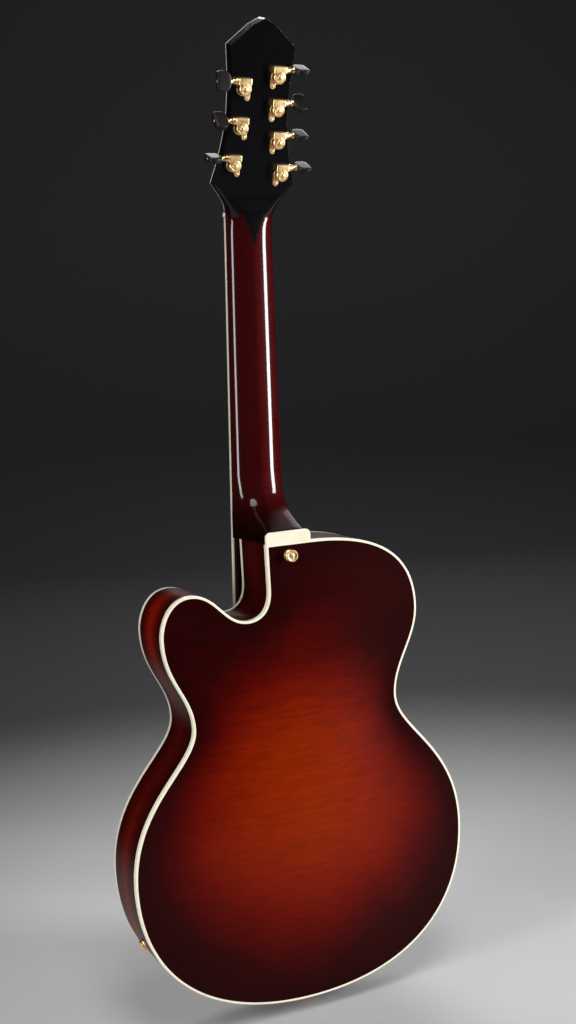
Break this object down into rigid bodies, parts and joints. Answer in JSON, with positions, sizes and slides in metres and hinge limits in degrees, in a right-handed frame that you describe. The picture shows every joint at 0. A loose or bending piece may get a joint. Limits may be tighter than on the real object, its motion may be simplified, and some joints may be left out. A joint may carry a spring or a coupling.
{
  "type": "archtop guitar",
  "caption": "Hollow-body archtop guitar with a carved back and front, one rounded cutaway, ivory bindings, a pitched head with geared tuners, floating bridge, tailpiece, pickup and guard.",
  "frame": {"origin": "centre of the tail strap button's outer face", "axes": "+Z from the tail up the centre line to the head, -Y out of the front (the strings' side), +X to the treble side, which has the cutaway"},
  "size_m": [0.406, 0.1364, 1.1016],
  "materials": {
    "back_wood": "flamed maple, high gloss sunburst lacquer",
    "rim_wood": "flamed maple, high gloss dark red lacquer",
    "top_wood": "spruce, high gloss sunburst lacquer",
    "neck_wood": "maple, high gloss dark red lacquer",
    "inner_wood": "bare spruce and maple",
    "ivory_trim": "cream celluloid, polished",
    "black_face": "black lacquer, high gloss",
    "ebony": "ebony, satin",
    "black_guard": "black, gloss",
    "tuner_button": "dark brown-black, gloss",
    "gold_metal": "gold plate, bright",
    "steel": "plain steel",
    "bronze": "wound strings and brass nut"
  },
  "bodies": {
    "guitar": {"rim": "rim_wood", "back_binding": "ivory_trim", "top_binding": "ivory_trim", "back_plate": "back_wood", "top_plate": "top_wood", "neck_block": "inner_wood", "tail_block": "inner_wood", "tone_bar_bass": "inner_wood", "tone_bar_treble": "inner_wood", "heel_cap": "ivory_trim", "tail_strap_button": "gold_metal", "heel_strap_button": "gold_metal", "output_jack": "gold_metal", "volume_pot": "steel", "tone_pot": "steel", "bridge_base": "ebony", "tailpiece": "ebony", "tailpiece_hanger": "gold_metal", "pickup": "gold_metal", "pickguard": "black_guard", "neck": "neck_wood", "headstock_overlay": "black_face", "truss_rod_cover": "black_guard", "truss_rod": "steel", "fretboard": "ebony", "nut": "ivory_trim", "string_1": "bronze", "string_2": "bronze", "string_3": "bronze", "string_4": "bronze", "string_5": "bronze", "string_6": "steel", "string_7": "steel", "tuner_housing_1": "gold_metal", "tuner_housing_2": "gold_metal", "tuner_housing_3": "gold_metal", "tuner_housing_4": "gold_metal", "tuner_housing_5": "gold_metal", "tuner_housing_6": "gold_metal", "tuner_housing_7": "gold_metal"},
    "saddle": {"bridge_saddle": "ebony"},
    "wheel_bass": {"thumbwheel_bass": "gold_metal"},
    "wheel_treble": {"thumbwheel_treble": "gold_metal"},
    "volume_control": {"volume_knob": "black_guard"},
    "tone_control": {"tone_knob": "black_guard"},
    "rod_nut": {"truss_rod_nut": "bronze"},
    "tuner_key_1": {"tuner_button_1": "tuner_button"},
    "string_post_1": {"tuner_post_1": "gold_metal"},
    "tuner_key_2": {"tuner_button_2": "tuner_button"},
    "string_post_2": {"tuner_post_2": "gold_metal"},
    "tuner_key_3": {"tuner_button_3": "tuner_button"},
    "string_post_3": {"tuner_post_3": "gold_metal"},
    "tuner_key_4": {"tuner_button_4": "tuner_button"},
    "string_post_4": {"tuner_post_4": "gold_metal"},
    "tuner_key_5": {"tuner_button_5": "tuner_button"},
    "string_post_5": {"tuner_post_5": "gold_metal"},
    "tuner_key_6": {"tuner_button_6": "tuner_button"},
    "string_post_6": {"tuner_post_6": "gold_metal"},
    "tuner_key_7": {"tuner_button_7": "tuner_button"},
    "string_post_7": {"tuner_post_7": "gold_metal"}
  },
  "joints": [
    {"name": "tuner_1_turn", "type": "hinge", "parent": "guitar", "child": "tuner_key_1", "pos_m": [-0.0289, 0.01413, 0.94913], "axis": [1, 0, 0], "continuous": true},
    {"name": "post_1_turn", "type": "hinge", "parent": "guitar", "child": "string_post_1", "pos_m": [-0.0289, -0.0051, 0.9474], "axis": [0, -0.9527, 0.304], "continuous": true},
    {"name": "tuner_2_turn", "type": "hinge", "parent": "guitar", "child": "tuner_key_2", "pos_m": [-0.0225, 0.02462, 0.982], "axis": [1, 0, 0], "continuous": true},
    {"name": "post_2_turn", "type": "hinge", "parent": "guitar", "child": "string_post_2", "pos_m": [-0.0225, 0.00539, 0.98027], "axis": [0, -0.9527, 0.304], "continuous": true},
    {"name": "tuner_3_turn", "type": "hinge", "parent": "guitar", "child": "tuner_key_3", "pos_m": [-0.0191, 0.03496, 1.01439], "axis": [1, 0, 0], "continuous": true},
    {"name": "post_3_turn", "type": "hinge", "parent": "guitar", "child": "string_post_3", "pos_m": [-0.0191, 0.01572, 1.01266], "axis": [0, -0.9527, 0.304], "continuous": true},
    {"name": "tuner_4_turn", "type": "hinge", "parent": "guitar", "child": "tuner_key_4", "pos_m": [-0.0179, 0.0453, 1.04678], "axis": [1, 0, 0], "continuous": true},
    {"name": "post_4_turn", "type": "hinge", "parent": "guitar", "child": "string_post_4", "pos_m": [-0.0179, 0.02606, 1.04505], "axis": [0, -0.9527, 0.304], "continuous": true},
    {"name": "tuner_5_turn", "type": "hinge", "parent": "guitar", "child": "tuner_key_5", "pos_m": [0.0209, 0.04144, 1.03468], "axis": [1, 0, 0], "continuous": true},
    {"name": "post_5_turn", "type": "hinge", "parent": "guitar", "child": "string_post_5", "pos_m": [0.0209, 0.0222, 1.03295], "axis": [0, -0.9527, 0.304], "continuous": true},
    {"name": "tuner_6_turn", "type": "hinge", "parent": "guitar", "child": "tuner_key_6", "pos_m": [0.0218, 0.02912, 0.9961], "axis": [1, 0, 0], "continuous": true},
    {"name": "post_6_turn", "type": "hinge", "parent": "guitar", "child": "string_post_6", "pos_m": [0.0218, 0.00989, 0.99436], "axis": [0, -0.9527, 0.304], "continuous": true},
    {"name": "tuner_7_turn", "type": "hinge", "parent": "guitar", "child": "tuner_key_7", "pos_m": [0.0275, 0.01724, 0.95885], "axis": [1, 0, 0], "continuous": true},
    {"name": "post_7_turn", "type": "hinge", "parent": "guitar", "child": "string_post_7", "pos_m": [0.0275, -0.002, 0.95712], "axis": [0, -0.9527, 0.304], "continuous": true},
    {"name": "thumbwheel_bass_turn", "type": "hinge", "parent": "saddle", "child": "wheel_bass", "pos_m": [-0.041, -0.066, 0.25554], "axis": [0, -1, 0], "range_deg": [-1080, 1800]},
    {"name": "thumbwheel_treble_turn", "type": "hinge", "parent": "saddle", "child": "wheel_treble", "pos_m": [0.041, -0.066, 0.25554], "axis": [0, -1, 0], "range_deg": [-1081, 1801]},
    {"name": "saddle_height", "type": "slide", "parent": "guitar", "child": "saddle", "axis": [0, -1, 0], "range_m": [-0.0022, 0.0036], "deforming": ["string_1", "string_2", "string_3", "string_4", "string_5", "string_6", "string_7"]},
    {"name": "volume_turn", "type": "hinge", "parent": "guitar", "child": "volume_control", "pos_m": [0.132, -0.045, 0.2065], "axis": [0, -1, 0], "range_deg": [-240, 60]},
    {"name": "tone_turn", "type": "hinge", "parent": "guitar", "child": "tone_control", "pos_m": [0.146, -0.045, 0.1585], "axis": [0, -1, 0], "range_deg": [-200, 100]},
    {"name": "truss_rod_nut_turn", "type": "hinge", "parent": "guitar", "child": "rod_nut", "pos_m": [0, -0.01423, 0.90832], "axis": [0, 0.0732, 0.9973], "range_deg": [-180, 180]}
  ],
  "couplings": [
    {"joint": "post_1_turn", "follows": "tuner_1_turn", "ratio": 0.0625},
    {"joint": "post_2_turn", "follows": "tuner_2_turn", "ratio": 0.0625},
    {"joint": "post_3_turn", "follows": "tuner_3_turn", "ratio": 0.0625},
    {"joint": "post_4_turn", "follows": "tuner_4_turn", "ratio": 0.0625},
    {"joint": "post_5_turn", "follows": "tuner_5_turn", "ratio": -0.0625},
    {"joint": "post_6_turn", "follows": "tuner_6_turn", "ratio": -0.0625},
    {"joint": "post_7_turn", "follows": "tuner_7_turn", "ratio": -0.0625},
    {"joint": "saddle_height", "follows": "thumbwheel_bass_turn", "m_per_rad": 0.00011141},
    {"joint": "thumbwheel_treble_turn", "follows": "thumbwheel_bass_turn", "ratio": 1}
  ]
}
